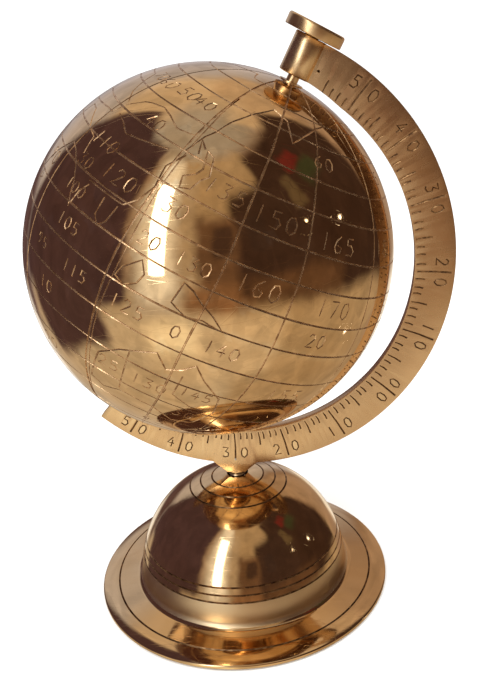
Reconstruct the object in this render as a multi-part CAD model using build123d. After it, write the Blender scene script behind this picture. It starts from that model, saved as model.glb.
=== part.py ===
from build123d import *
import os
from math import asin, atan2, cos, degrees, radians, sin, sqrt, tan

# Desk globe in brass: an engraved hollow globe turns between two pivots in a C-shaped meridian arm,
# which stands on a bell-shaped base. Millimetres, +Z up, origin at the centre of the base's underside.
# The arm lies in the XZ plane and the globe's axis leans towards +X.

# globe and its axis
globe_radius = 63.5
globe_wall = 1.6
globe_x = -3.3
globe_height = 134.0
tilt_deg = 28.8

# meridian arm: a flat ring segment whose centre stands a little off the globe's centre
arm_inner = 65.2
arm_width = 13.7
arm_thickness = 5.0
arm_offset_x = 5.5
arm_offset_z = -3.7
arm_low_deg = -132.5
arm_high_deg = 72.0
arm_clearance = 2.6
edge_break = 0.4
foot_half_top = 10.3
foot_half_tip = 3.5
foot_tip_height = 47.5

# boss, thumb screw and pivots, all on the globe's axis
boss_radius = 5.4
boss_low = 65.8
boss_high = 78.4
screw_radius = 2.5
screw_bore = 2.56
pivot_radius = 1.95
pivot_bore = 2.0
pivot_depth = 4.0
shoulder_drop = 1.4
knob_low = 78.6
knob_thickness = 3.9
knob_radius = 9.6
pin_radius = 1.5
pin_bore = 1.55
spacer_radius = 4.2
bush_radius = 4.0
bush_proud = 0.2
bush_length = 6.2

# base bell
dome_radius = 41.6
dome_centre_height = 4.7
dome_wall = 1.8
dome_seat_radius = 4.2
flange_radius = 57.9
flange_low = 0.9
flange_edge_top = 2.4
flange_root_top = 5.0
root_fillet = 3.0
shoulder_grooves = [20.3, 17.6, 14.9]
crown_grooves = [10.2, 14.8, 19.1]
flange_groove = 51.3
groove_width = 0.7
groove_depth = 0.35
felt_radius = 56.5

# fixing under the dome
stud_radius = 2.5
stud_bore = 2.6
collar_radius = 3.4
washer_radius = 7.0
washer_thickness = 1.0
spring_washer_radius = 4.6
spring_washer_thickness = 1.3
nut_across_flats = 8.0
nut_height = 4.0
stud_tail = 2.5
stud_in_foot = 6.0

axis_dir = Vector(sin(radians(tilt_deg)), 0, cos(radians(tilt_deg)))
globe_centre = Vector(globe_x, 0, globe_height)
arm_centre = globe_centre + Vector(arm_offset_x, 0, arm_offset_z)
arm_outer = arm_inner + arm_width
dome_seat = dome_centre_height + sqrt(dome_radius**2 - dome_seat_radius**2)
dome_inner = dome_radius - dome_wall


def on_axis(distance, z_dir=1):
    """Plane square to the globe's axis, at a distance from the globe's centre."""
    return Plane(globe_centre + axis_dir * distance, x_dir=(0, -1, 0), z_dir=axis_dir * z_dir)


def axis_rod(radius, low, high):
    """Round bar along the globe's axis between two distances from the globe's centre."""
    height = high - low
    return on_axis(low) * Cylinder(radius, height, align=(Align.CENTER, Align.CENTER, Align.MIN))


def upright(radius, low, high):
    """Round bar along the base's vertical axis."""
    return Pos(0, 0, low) * Cylinder(radius, high - low, align=(Align.CENTER, Align.CENTER, Align.MIN))


def groove(x, z, normal_deg):
    """Section of a V-shaped turned groove, cut at a point of the bell's outline."""
    half = groove_width / 2
    section = make_face(Polyline((0.2, -half), (0.2, half), (-groove_depth, 0), close=True))
    return Pos(x, z) * Rot(0, 0, normal_deg) * section


def dome_groove(height):
    """Groove section on the dome's outline at a height."""
    rise = height - dome_centre_height
    return groove(sqrt(dome_radius**2 - rise**2), height, degrees(asin(rise / dome_radius)))


def bell_outline():
    """Half section of the bell: flange, root fillet, dome and seat outside, plain hemisphere inside."""
    slope = atan2(flange_root_top - flange_edge_top, flange_radius - dome_radius)
    square = (sin(slope), cos(slope))
    # centre of the root fillet: one fillet radius above the flange and outside the dome
    lift = flange_root_top - dome_centre_height + root_fillet / cos(slope) + dome_radius * tan(slope)
    reach = dome_radius + root_fillet
    fall = tan(slope)
    fillet_x = (lift * fall + sqrt(reach**2 * (1 + fall**2) - lift**2)) / (1 + fall**2)
    fillet_z = dome_centre_height + lift - fall * fillet_x
    dome_end = degrees(atan2(fillet_z - dome_centre_height, fillet_x))
    seat_angle = degrees(asin((dome_seat - dome_centre_height) / dome_radius))
    fillet_end = degrees(atan2(-square[1], -square[0]))
    root = (fillet_x - root_fillet * square[0], fillet_z - root_fillet * square[1])
    ceiling_angle = degrees(asin(sqrt(dome_inner**2 - stud_bore**2) / dome_inner))
    dome_base = (0, dome_centre_height)
    edges = [
        CenterArc(dome_base, dome_radius, dome_end, seat_angle - dome_end),
        CenterArc((fillet_x, fillet_z), root_fillet, fillet_end + 360, dome_end + 180 - fillet_end - 360),
        Line(root, (flange_radius - edge_break, flange_edge_top + edge_break * fall)),
        Line((flange_radius - edge_break, flange_edge_top + edge_break * fall),
             (flange_radius, flange_edge_top - edge_break)),
        Polyline((flange_radius, flange_edge_top - edge_break), (flange_radius, flange_low),
                 (dome_inner, flange_low), (dome_inner, dome_centre_height)),
        CenterArc(dome_base, dome_inner, 0, ceiling_angle),
        Polyline((stud_bore, dome_centre_height + sqrt(dome_inner**2 - stud_bore**2)),
                 (stud_bore, dome_seat), (dome_seat_radius, dome_seat)),
    ]
    return make_face(edges)


def base_bell():
    """Cast bell: a thin hemisphere that stands on a wide flange, with turned grooves."""
    outline = bell_outline()
    slope = (flange_root_top - flange_edge_top) / (flange_radius - dome_radius)
    outline -= groove(flange_groove, flange_edge_top + slope * (flange_radius - flange_groove), 81)
    for height in shoulder_grooves:
        outline -= dome_groove(height)
    for radius in crown_grooves:
        outline -= dome_groove(dome_centre_height + sqrt(dome_radius**2 - radius**2))
    return revolve(Plane.XZ * outline, Axis.Z, 360)


def meridian_arm():
    """Flat C-shaped arm with a pointed foot, coped to the boss and drilled for the lower pivot."""
    steps = 8
    sweep = [radians(arm_low_deg + (arm_high_deg - arm_low_deg) * i / steps) for i in range(steps + 1)]
    reach = arm_outer / cos(radians((arm_high_deg - arm_low_deg) / steps / 2)) + 2
    sector = make_face(Polyline((0, 0), *[(reach * cos(a), reach * sin(a)) for a in sweep], close=True))
    ring = (Circle(arm_outer) - Circle(arm_inner)) & sector
    face = Pos(arm_centre.X, arm_centre.Z) * ring
    foot_top = arm_centre.Z - sqrt(arm_outer**2 - (arm_centre.X + foot_half_top)**2) + 1
    face += make_face(Polyline(
        (-foot_half_top, foot_top), (-foot_half_tip, foot_tip_height),
        (foot_half_tip, foot_tip_height), (foot_half_top, foot_top), close=True))
    face -= Pos(globe_centre.X, globe_centre.Z) * Circle(globe_radius + arm_clearance)
    plate = extrude(Plane.XZ * face, arm_thickness / 2, both=True)
    beyond_boss = Pos(0, -arm_outer, 0) * Box(3 * boss_radius, 2 * arm_outer, 2 * globe_radius)
    plate -= on_axis(globe_radius) * beyond_boss
    plate -= axis_rod(boss_radius, boss_low - 8, boss_high + 8)
    plate -= axis_rod(4 * boss_radius, boss_high, boss_high + 8)
    plate -= axis_rod(pin_radius, -2 * globe_radius, -globe_radius)
    plate -= upright(stud_radius, foot_tip_height - 1, foot_tip_height + stud_in_foot)
    return max(plate.solids(), key=lambda s: s.volume)


def pole_boss():
    """Turned boss brazed to the arm's upper end, bored for the thumb screw."""
    body = axis_rod(boss_radius, boss_low, boss_high)
    body = chamfer(body.edges().filter_by(GeomType.CIRCLE), edge_break)
    body -= axis_rod(screw_bore, boss_low + shoulder_drop, boss_high + 1)
    return body - axis_rod(pivot_bore, boss_low - 1, boss_low + 2 * shoulder_drop)


def pivot_screw():
    """Screw through the boss whose turned-down tip enters the globe's north pole."""
    tip = globe_radius - pivot_depth
    shank_low = boss_low + 3 * shoulder_drop
    shank = axis_rod(screw_radius, shank_low, knob_low)
    return shank + axis_rod(pivot_radius, tip, shank_low) + axis_rod(screw_radius - 0.6, knob_low, knob_low + 2.5)


def thumb_knob():
    """Plain turned disc fixed on the screw's upper end."""
    disc = axis_rod(knob_radius, knob_low, knob_low + knob_thickness)
    disc = fillet(disc.edges().filter_by(GeomType.CIRCLE), 0.6)
    return disc - axis_rod(screw_radius - 0.6, knob_low - 1, knob_low + 2.5)


def pole_bush(side):
    """Shouldered bush set in one pole of the globe; side is 1 at the north and -1 at the south."""
    bore = pivot_bore if side > 0 else pin_bore
    outer = globe_radius + bush_proud
    inner = outer - bush_length
    shell_inner = globe_radius - globe_wall
    span = sorted((side * inner, side * outer))
    shoulder = sorted((side * inner, side * (shell_inner - 0.7)))
    bush = axis_rod(bush_radius, *span) + axis_rod(bush_radius + 2, *shoulder)
    return bush - axis_rod(bore, span[0] - 1, span[1] + 1)


def hemisphere(side):
    """Half of the hollow globe, with a hole for its pole bush."""
    shell = Sphere(globe_radius) - Sphere(globe_radius - globe_wall)
    half = Pos(0, 0, side * globe_radius) * Box(2.2 * globe_radius, 2.2 * globe_radius, 2 * globe_radius)
    span = sorted((side * globe_radius / 2, side * globe_radius * 1.1))
    return on_axis(0) * (shell & half) - axis_rod(bush_radius, *span)


def equator_band():
    """Lap ring inside the globe that locates the two halves on each other."""
    outer = globe_radius - globe_wall - 0.05
    ring = Sphere(outer) & Cylinder(outer + 1, 8)
    return on_axis(0) * (ring - Cylinder(outer - 1.6, 10))


def south_pin():
    """Pin pressed into the arm's lower end, flush with its outer edge."""
    reach = arm_reach(-1, arm_outer) - 0.1
    return axis_rod(pin_radius, -reach, -(globe_radius - pivot_depth))


def arm_reach(side, radius):
    """Distance along the axis from the globe's centre to a circle about the arm's centre."""
    along = side * (arm_offset_x * axis_dir.X + arm_offset_z * axis_dir.Z)
    return along + sqrt(along**2 - arm_offset_x**2 - arm_offset_z**2 + radius**2)


def south_spacer():
    """Thrust washer that carries the globe on the arm's lower end."""
    top = globe_radius + bush_proud + 0.1
    bottom = min(arm_reach(-1, arm_inner), globe_radius + 3.3) - 0.15
    ring = axis_rod(spacer_radius, -bottom, -top)
    return ring - axis_rod(pin_bore, -bottom - 1, -top + 1)


def foot_collar():
    """Short turned collar between the dome and the arm's foot."""
    ring = upright(collar_radius, dome_seat, foot_tip_height)
    return ring - upright(stud_bore, dome_seat - 1, foot_tip_height + 1)


def fixing_levels():
    """Heights of the undersides of the flat washer, spring washer and nut."""
    flat_low = dome_centre_height + sqrt(dome_inner**2 - washer_radius**2) - 0.02 - washer_thickness
    spring_low = flat_low - spring_washer_thickness
    return flat_low, spring_low, spring_low - nut_height


def foot_stud():
    """Stud screwed into the arm's foot, which hangs through the dome."""
    low = fixing_levels()[2] - stud_tail
    return upright(stud_radius, low, foot_tip_height + stud_in_foot)


def flat_washer():
    low = fixing_levels()[0]
    return upright(washer_radius, low, low + washer_thickness) - upright(stud_bore, low - 1, low + 3)


def spring_washer():
    """Split spring washer, shown flat as it is when tight."""
    low, high = fixing_levels()[1], fixing_levels()[0]
    ring = upright(spring_washer_radius, low, high) - upright(stud_bore, low - 1, high + 1)
    return ring - Pos(spring_washer_radius, 0, (low + high) / 2) * Box(2 * spring_washer_radius, 0.6, 4)


def stud_nut():
    """Hexagon nut that pulls the arm's foot down on the dome."""
    low, high = fixing_levels()[2], fixing_levels()[1]
    prism = extrude(Pos(0, 0, low) * RegularPolygon(nut_across_flats / 2, 6, major_radius=False), high - low)
    bevel = upright(nut_across_flats * 0.56, low, high)
    bevel = chamfer(bevel.edges().filter_by(GeomType.CIRCLE), 0.5)
    return (prism & bevel) - upright(stud_bore, low - 1, high + 1)


def felt_pad():
    """Felt disc glued under the flange."""
    return upright(felt_radius, 0, flange_low)


nodes = {
    "base_bell": base_bell(),
    "felt_pad": felt_pad(),
    "foot_collar": foot_collar(),
    "foot_stud": foot_stud(),
    "flat_washer": flat_washer(),
    "spring_washer": spring_washer(),
    "stud_nut": stud_nut(),
    "meridian_arm": meridian_arm(),
    "pole_boss": pole_boss(),
    "south_pin": south_pin(),
    "south_spacer": south_spacer(),
    "pivot_screw": pivot_screw(),
    "thumb_knob": thumb_knob(),
    "north_hemisphere": hemisphere(1),
    "south_hemisphere": hemisphere(-1),
    "equator_band": equator_band(),
    "north_bush": pole_bush(1),
    "south_bush": pole_bush(-1),
}

os.makedirs("parts", exist_ok=True)
for name, shape in nodes.items():
    export_step(shape, f"parts/{name}.step")
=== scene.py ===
import bpy
from math import asin, atan2, ceil, cos, degrees, pi, radians, sin, sqrt
from mathutils import Matrix, Vector


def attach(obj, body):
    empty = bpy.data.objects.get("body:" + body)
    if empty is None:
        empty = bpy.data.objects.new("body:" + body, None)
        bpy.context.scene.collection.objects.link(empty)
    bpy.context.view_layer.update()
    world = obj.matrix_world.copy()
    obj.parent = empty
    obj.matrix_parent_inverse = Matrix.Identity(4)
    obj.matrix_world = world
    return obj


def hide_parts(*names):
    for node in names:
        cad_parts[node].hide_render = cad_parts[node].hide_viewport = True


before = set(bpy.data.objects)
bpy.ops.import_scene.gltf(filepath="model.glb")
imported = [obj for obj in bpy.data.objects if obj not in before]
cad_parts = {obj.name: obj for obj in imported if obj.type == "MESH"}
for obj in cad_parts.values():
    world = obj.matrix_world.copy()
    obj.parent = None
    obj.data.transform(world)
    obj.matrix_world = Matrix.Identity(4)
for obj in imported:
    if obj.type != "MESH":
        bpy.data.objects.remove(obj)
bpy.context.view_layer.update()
mm = 0.001
weldFine, weldCoarse = 0.001 * mm, 0.002 * mm  # points closer than this become one
print("frame loaded")


# small helpers for making, selecting and finishing a piece

def pickOnly(piece):
    bpy.ops.object.select_all(action="DESELECT")
    piece.select_set(True)
    bpy.context.view_layer.objects.active = piece


def addShape(addPrimitive, **settings):
    # runs one of Blender's own add operators with nothing else selected
    bpy.ops.object.select_all(action="DESELECT")
    addPrimitive(**settings)
    return bpy.context.object


def editAll():
    bpy.ops.object.mode_set(mode="EDIT")
    bpy.ops.mesh.select_all(action="SELECT")


def leaveEdit():
    bpy.ops.object.mode_set(mode="OBJECT")


def weldAndLeave(weld):
    # merges doubled points, turns the faces outwards and leaves edit mode
    bpy.ops.mesh.select_all(action="SELECT")
    bpy.ops.mesh.remove_doubles(threshold=weld)
    bpy.ops.mesh.normals_make_consistent(inside=False)
    leaveEdit()


def applyModifier(piece, kind, **settings):
    pickOnly(piece)
    modifier = piece.modifiers.new(kind.title(), kind)
    for key, value in settings.items():
        setattr(modifier, key, value)
    bpy.ops.object.modifier_apply(modifier=modifier.name)


def cutOrJoin(piece, tool, operation="DIFFERENCE", removeTool=True):
    applyModifier(piece, "BOOLEAN", object=tool, operation=operation, solver="MANIFOLD",
                  material_mode="TRANSFER")
    if removeTool:
        bpy.data.objects.remove(tool)


def pickPoints(piece, wanted):
    # selects the points that wanted(place) says, and nothing else, and stays in edit mode
    pickOnly(piece)
    bpy.ops.object.mode_set(mode="EDIT")
    bpy.ops.mesh.select_mode(type="VERT")
    bpy.ops.mesh.select_all(action="DESELECT")
    leaveEdit()
    for vertex in piece.data.vertices:
        vertex.select = wanted(vertex.co)
    bpy.ops.object.mode_set(mode="EDIT")


def placePiece(piece, place, turn=(0, 0, 0)):
    # moves and turns the piece, then leaves its object at the origin
    piece.location = place
    piece.rotation_euler = turn
    pickOnly(piece)
    bpy.ops.object.transform_apply(location=True, rotation=True, scale=True)


def setFinishes(piece, *finishes):
    piece.data.materials.clear()
    for finish in finishes:
        piece.data.materials.append(finish)


def finishPiece(piece, body, slot, *nodes, angle):
    pickOnly(piece)
    bpy.ops.object.shade_smooth_by_angle(angle=radians(angle))
    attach(piece, body)
    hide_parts(*nodes)
    print(piece.name, "done:", len(piece.data.polygons), "faces")


def turnPiece(name, outline, steps):
    # outline points (radius, height) in millimetres are extruded one after another from one
    # vertex and spun round Z
    outline = [Vector((radius * mm, 0, height * mm)) for radius, height in outline]
    piece = addShape(bpy.ops.mesh.primitive_plane_add, size=mm)
    piece.name = piece.data.name = name
    bpy.ops.object.mode_set(mode="EDIT")
    bpy.ops.mesh.merge(type="CENTER")
    here = outline[0]
    bpy.ops.transform.translate(value=here)
    for there in outline[1:]:
        bpy.ops.mesh.extrude_vertices_move(TRANSFORM_OT_translate={"value": there - here})
        here = there
    bpy.ops.mesh.select_all(action="SELECT")
    bpy.ops.mesh.remove_doubles(threshold=weldFine)
    bpy.ops.mesh.select_all(action="SELECT")
    bpy.ops.mesh.spin(steps=steps, angle=2 * pi, center=(0, 0, 0), axis=(0, 0, 1))
    weldAndLeave(weldCoarse)
    return piece


def arcPoints(centre, radius, startDeg, endDeg, stepDeg):
    count = max(1, ceil(abs(endDeg - startDeg) / stepDeg))
    angles = [radians(startDeg + (endDeg - startDeg) * i / count) for i in range(count + 1)]
    return [(centre[0] + radius * cos(a), centre[1] + radius * sin(a)) for a in angles]


# finishes

class Nodes:
    # short way to add and join shader nodes

    def __init__(self, material):
        material.use_nodes = True
        self.tree = material.node_tree
        self.shader = self.tree.nodes.get("Principled BSDF")

    def add(self, kind, inputs=None, **settings):
        node = self.tree.nodes.new(kind)
        for key, value in settings.items():
            setattr(node, key, value)
        for key, value in (inputs or {}).items():
            self.feed(node.inputs[key], value)
        return node

    def feed(self, socket, value):
        if isinstance(value, bpy.types.NodeSocket):
            self.tree.links.new(value, socket)
        else:
            socket.default_value = value

    def shade(self, inputs):
        for key, value in inputs.items():
            self.feed(self.shader.inputs[key], value)

    def objectSpot(self):
        return self.add("ShaderNodeTexCoord").outputs["Object"]

    def math(self, operation, first, second=0.0, third=0.0):
        inputs = {0: first, 1: second, 2: third}
        return self.add("ShaderNodeMath", inputs, operation=operation).outputs[0]

    def mapRange(self, value, low, high, newLow, newHigh, smooth=False):
        inputs = {0: value, 1: low, 2: high, 3: newLow, 4: newHigh}
        kind = "SMOOTHSTEP" if smooth else "LINEAR"
        return self.add("ShaderNodeMapRange", inputs, interpolation_type=kind).outputs[0]

    def mixColour(self, factor, first, second):
        inputs = {0: factor, 6: first, 7: second}
        return self.add("ShaderNodeMix", inputs, data_type="RGBA").outputs[2]

    def noise(self, vector, scale, detail=2.0, roughness=0.5, distortion=0.0):
        inputs = {"Vector": vector, "Scale": scale, "Detail": detail, "Roughness": roughness,
                  "Distortion": distortion}
        return self.add("ShaderNodeTexNoise", inputs).outputs[0]

    def bump(self, height, distance, normal=None):
        inputs = {"Height": height, "Distance": distance, "Strength": 1.0}
        if normal:
            inputs["Normal"] = normal
        return self.add("ShaderNodeBump", inputs).outputs[0]


def brassFinish(name, look):
    material = bpy.data.materials.new(name)
    n = Nodes(material)
    local = n.add("ShaderNodeMapping", {"Location": look["centre"], "Rotation": look["turn"],
                  "Vector": n.objectSpot()}, vector_type="TEXTURE").outputs[0]
    cloud = n.noise(local, look["cloudSize"], 4.0, 0.6, 0.4)
    clouded = n.mapRange(cloud, *look["cloudRange"], 0, 1, True)
    colour = n.mixColour(clouded, look["bright"], look["deep"])
    stain = n.noise(local, look["stainSize"], 5.0, 0.65, 1.0)
    stainEnd = look["stainFrom"] + look["stainSpread"]
    stained = n.mapRange(stain, look["stainFrom"], stainEnd, 0, look["stainMost"], True)
    colour = n.mixColour(stained, colour, look["stain"])
    fleck = n.noise(local, look["fleckSize"])
    flecked = n.mapRange(fleck, *look["fleckRange"], 0, look["fleckMost"], True)
    colour = n.mixColour(flecked, colour, look["fleck"])
    # handling keeps the edges bright and smooth
    sharpness = n.add("ShaderNodeNewGeometry").outputs["Pointiness"]
    worn = n.math("MULTIPLY", n.mapRange(sharpness, *look["edgeRange"], 0, look["edgeMost"], True),
                  n.mapRange(cloud, 0.3, 0.6, 0.5, 1))
    colour = n.mixColour(worn, colour, look["worn"])
    grain = n.noise(local, look["grainSize"], 6.0, 0.7)
    rough = n.mapRange(grain, 0.3, 0.75, look["roughLow"], look["roughHigh"], True)
    rough = n.math("ADD", rough, n.math("MULTIPLY", stained, look["stainRough"]))
    rough = n.math("MULTIPLY", rough, n.mapRange(worn, 0, 1, 1, look["edgeSmooth"]))
    normal = n.bump(n.noise(local, look["waveSize"], 2.0, 0.45), look["waveDepth"])
    if look["latheDepth"]:
        # rings round the piece's own axis, from noise read at radius and height
        parts = n.add("ShaderNodeSeparateXYZ", {0: local}).outputs
        squares = [n.math("MULTIPLY", part, part) for part in (parts[0], parts[1])]
        around = n.math("SQRT", n.math("ADD", *squares))
        ringSpot = n.add("ShaderNodeCombineXYZ", {0: around, 2: parts[2]}).outputs[0]
        rings = n.noise(ringSpot, look["latheSize"], 3.0, 0.7)
        normal = n.bump(rings, look["latheDepth"], normal)
    if look["brushDepth"]:
        strokes = n.add("ShaderNodeMapping", {"Vector": local, "Rotation": look["brushTurn"],
                        "Scale": look["brushScale"]}).outputs[0]
        normal = n.bump(n.noise(strokes, 1.0, 3.0, 0.65, 0.3), look["brushDepth"], normal)
    stretched = n.add("ShaderNodeMapping", {"Vector": local, "Rotation": look["scratchTurn"],
                      "Scale": look["scratchScale"]}).outputs[0]
    scratches = n.add("ShaderNodeTexVoronoi", {"Vector": stretched, "Scale": 1.0},
                      feature="DISTANCE_TO_EDGE").outputs[0]
    scratched = n.mapRange(scratches, 0.0, look["scratchWidth"], 0, 1)
    normal = n.bump(scratched, look["scratchDepth"], normal)
    n.shade({"Base Color": colour, "Metallic": 1.0, "Roughness": rough, "Normal": normal})
    return material


def patinaFinish(name, dark, light, rough):
    # oxide and old polish left in cut lines
    material = bpy.data.materials.new(name)
    n = Nodes(material)
    spot = n.objectSpot()
    mix = n.mapRange(n.noise(spot, 420.0, 4.0, 0.65), 0.38, 0.62, 0, 1, True)
    n.shade({"Base Color": n.mixColour(mix, dark, light), "Metallic": 0.95,
             "Roughness": n.mapRange(mix, 0, 1, rough + 0.15, rough),
             "Normal": n.bump(n.noise(spot, 2500.0, 3.0), 0.02 * mm)})
    return material


def feltFinish(name, dark, light):
    material = bpy.data.materials.new(name)
    n = Nodes(material)
    wool = n.noise(n.objectSpot(), 1400.0, 6.0, 0.75, 1.5)
    n.shade({"Base Color": n.mixColour(n.mapRange(wool, 0.3, 0.7, 0, 1), dark, light),
             "Normal": n.bump(wool, 0.25 * mm), "Roughness": 0.95, "Sheen Weight": 0.4})
    return material


globeCentre = Vector((-3.3, 0, 134.0)) * mm
tilt = radians(28.8)
poleAxis = Vector((sin(tilt), 0, cos(tilt)))

# a size is the noise scale per metre; a range is where in the noise a mark begins and is full
polishedLook = {
    "centre": (0, 0, 0), "turn": (0, 0, 0),
    "bright": (0.88, 0.64, 0.37, 1), "deep": (0.83, 0.57, 0.30, 1),
    "cloudSize": 22.0, "cloudRange": (0.35, 0.68),
    "stain": (0.66, 0.40, 0.19, 1), "stainSize": 14.0, "stainFrom": 0.55, "stainSpread": 0.16,
    "stainMost": 0.3, "stainRough": 0.03,
    "fleck": (0.50, 0.30, 0.14, 1), "fleckSize": 1600.0, "fleckRange": (0.66, 0.8),
    "fleckMost": 0.25,
    "worn": (0.93, 0.72, 0.45, 1), "edgeRange": (0.51, 0.58), "edgeMost": 0.8, "edgeSmooth": 0.6,
    "grainSize": 160.0, "roughLow": 0.035, "roughHigh": 0.09,
    "waveSize": 70.0, "waveDepth": 0.045 * mm, "latheDepth": 0.0, "brushDepth": 0.0,
    "scratchTurn": (0.6, 0.9, 0.3), "scratchScale": (25, 260, 260), "scratchWidth": 0.012,
    "scratchDepth": 0.004 * mm,
}
satinLook = dict(
    polishedLook, bright=(0.86, 0.62, 0.37, 1), deep=(0.80, 0.55, 0.31, 1),
    stain=(0.55, 0.30, 0.16, 1), stainMost=0.75, stainFrom=0.52, fleckSize=3200.0, fleckMost=0.12,
    roughLow=0.24, roughHigh=0.30, waveSize=45.0, waveDepth=0.015 * mm, brushDepth=0.0012 * mm,
    brushTurn=(0, 0.5, 0), brushScale=(90, 90, 2600), scratchDepth=0.0008 * mm)
domeLook = dict(
    polishedLook, latheDepth=0.008 * mm, latheSize=1100.0, roughLow=0.05, roughHigh=0.12)
# a lighter, rougher copy of the dome brass; its lighter colour is painted reflection, used on the
# band under the shoulder and on the foot collar
paintedReflectionLook = dict(
    domeLook, bright=(0.98, 0.80, 0.54, 1), deep=(0.96, 0.75, 0.48, 1), fleckMost=0.1,
    stainMost=0.15, latheDepth=0.003 * mm, roughLow=0.34, roughHigh=0.42)
poleLook = dict(
    polishedLook, centre=globeCentre, turn=(0, tilt, 0), latheDepth=0.012 * mm, latheSize=900.0,
    roughLow=0.26, roughHigh=0.38, fleckMost=0.1)
steelLook = dict(
    polishedLook, worn=(0.62, 0.61, 0.59, 1), bright=(0.55, 0.54, 0.52, 1),
    deep=(0.42, 0.41, 0.40, 1), stain=(0.28, 0.20, 0.15, 1), roughLow=0.25, roughHigh=0.4)

globeBrass = brassFinish("globeBrass", polishedLook)
armBrass = brassFinish("armBrass", satinLook)
domeBrass = brassFinish("domeBrass", domeLook)
paintedReflectionBrass = brassFinish("paintedReflectionBrass", paintedReflectionLook)
poleBrass = brassFinish("poleBrass", poleLook)
plainSteel = brassFinish("plainSteel", steelLook)
lineOxide = patinaFinish("lineOxide", (0.42, 0.24, 0.12, 1), (0.80, 0.55, 0.32, 1), 0.2)
grooveOxide = patinaFinish("grooveOxide", (0.14, 0.07, 0.035, 1), (0.42, 0.25, 0.12, 1), 0.3)
baseFelt = feltFinish("baseFelt", (0.012, 0.03, 0.018, 1), (0.035, 0.075, 0.045, 1))
print("finishes made")


# engraving: strokes become thin round bars, and the bars are cut out of the piece

barShare = 0.53  # a bar's radius as a share of its groove's width


def cutLines(pieces, strokes, name, finish):
    # each stroke is (points, widths, closed); a groove's depth goes with its width
    if not strokes:
        return
    curve = bpy.data.curves.new(name, "CURVE")
    curve.dimensions = "3D"
    curve.bevel_depth = 1.0
    curve.bevel_resolution = 1
    curve.use_fill_caps = True
    for points, widths, closed in strokes:
        spline = curve.splines.new("POLY")
        spline.points.add(len(points) - 1)
        for i, point in enumerate(points):
            spline.points[i].co = (*point, 1)
            spline.points[i].radius = widths[i] * barShare
        spline.use_cyclic_u = closed
    tool = bpy.data.objects.new(name, curve)
    bpy.context.scene.collection.objects.link(tool)
    pickOnly(tool)
    bpy.ops.object.convert(target="MESH")
    tool = bpy.context.object
    setFinishes(tool, finish)
    editAll()
    weldAndLeave(weldFine)
    for piece in pieces:
        before = len(piece.data.polygons)
        cutOrJoin(piece, tool, removeTool=False)
        print("  cut", name, "in", piece.name, before, "to", len(piece.data.polygons))
    bpy.data.objects.remove(tool)


# strokes of hand-cut figures in a box 1 high; the second list of a figure crosses its first
# list, so it is cut after it
figureWide, figureHigh = 0.62, 1.0
figures = {
    "0": ([([(0.06, 0.18), (0.02, 0.6), (0.14, 0.93), (0.42, 1.0), (0.6, 0.7), (0.56, 0.25),
          (0.3, 0.0)], True)], []),
    "1": ([([(0.28, 0.0), (0.32, 1.0)], False)], []),
    "2": ([([(0.03, 0.8), (0.2, 1.0), (0.48, 0.94), (0.55, 0.68), (0.3, 0.35), (0.0, 0.02),
          (0.6, 0.03)], False)], []),
    "3": ([([(0.03, 1.0), (0.56, 0.97), (0.26, 0.6), (0.54, 0.42), (0.5, 0.1), (0.2, 0.0),
          (0.0, 0.1)], False)], []),
    "4": ([([(0.42, 1.0), (0.0, 0.36), (0.62, 0.4)], False)], [([(0.44, 0.72),
          (0.4, 0.0)], False)]),
    "5": ([([(0.56, 1.0), (0.12, 0.96), (0.1, 0.58), (0.42, 0.6), (0.6, 0.34), (0.44, 0.04),
          (0.02, 0.06)], False)], []),
    "6": ([([(0.5, 1.0), (0.16, 0.7), (0.03, 0.3), (0.2, 0.0), (0.5, 0.08), (0.56, 0.36),
          (0.24, 0.46)], False)], []),
    "7": ([([(0.0, 0.98), (0.6, 1.0), (0.22, 0.0)], False)], []),
    "8": ([([(0.3, 0.56), (0.52, 0.74), (0.42, 0.98), (0.16, 0.96),
          (0.08, 0.72)], True)], [([(0.3, 0.5), (0.04, 0.3), (0.12, 0.02), (0.48, 0.0),
          (0.58, 0.28)], True)]),
    "9": ([([(0.1, 0.0), (0.44, 0.3), (0.57, 0.7), (0.4, 1.0), (0.1, 0.92), (0.04, 0.64),
          (0.36, 0.54)], False)], []),
}


# the globe: two spun halves with the map cut into them

globe = {
    "radius": 63.5 * mm, "wall": 1.6 * mm, "around": 192, "rings": 96,
    "poleOpening": 3.0 * mm, "bushHole": 4.02 * mm,
    "lineWidth": 0.68 * mm, "coastWidth": 0.60 * mm, "figureWidth": 0.56 * mm, "lift": 0.12 * mm,
    # a border is lighter than a coast, and the ends of a figure's strokes are lighter still
    "borderShare": 0.9, "endShare": 0.75,
    # degrees in the globe's own frame, with each line's share of the width; the lines were laid
    # out by hand and are unevenly spaced
    "meridians": [(-55, 1.0), (-20, 1.2), (-18.7, 0.7), (6, 1.15), (27, 1.0), (57, 1.0),
                  (86, 1.0), (116, 1.1), (147, 1.0), (177, 1.0), (-153, 1.1), (-121, 1.0),
                  (-88, 1.0)],
    "meridianEnd": 87, "secondEnd": 60,
    "parallels": [66, 57, 46, 37, 27, 18, 9, 0, -10, -20, -30, -40, -50, -61, -72],
    "figureGap": 0.95,
}


def onGlobe(lon, lat, lift):
    reach = globe["radius"] + lift
    return reach * Vector((sin(radians(lon)) * cos(radians(lat)),
                           -cos(radians(lon)) * cos(radians(lat)), sin(radians(lat))))


def overGround(corners, closed, step):
    # straight lines between map corners, divided so that they follow the ball
    corners = corners + corners[:1] if closed else corners
    points = [corners[0]]
    for (lonA, latA), (lonB, latB) in zip(corners, corners[1:]):
        span = max(abs(latB - latA), abs(lonB - lonA) * cos(radians((latA + latB) / 2)))
        count = max(1, ceil(span / step))
        points += [(lonA + (lonB - lonA) * i / count, latA + (latB - latA) * i / count)
                   for i in range(1, count + 1)]
    return points[:-1] if closed else points


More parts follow.
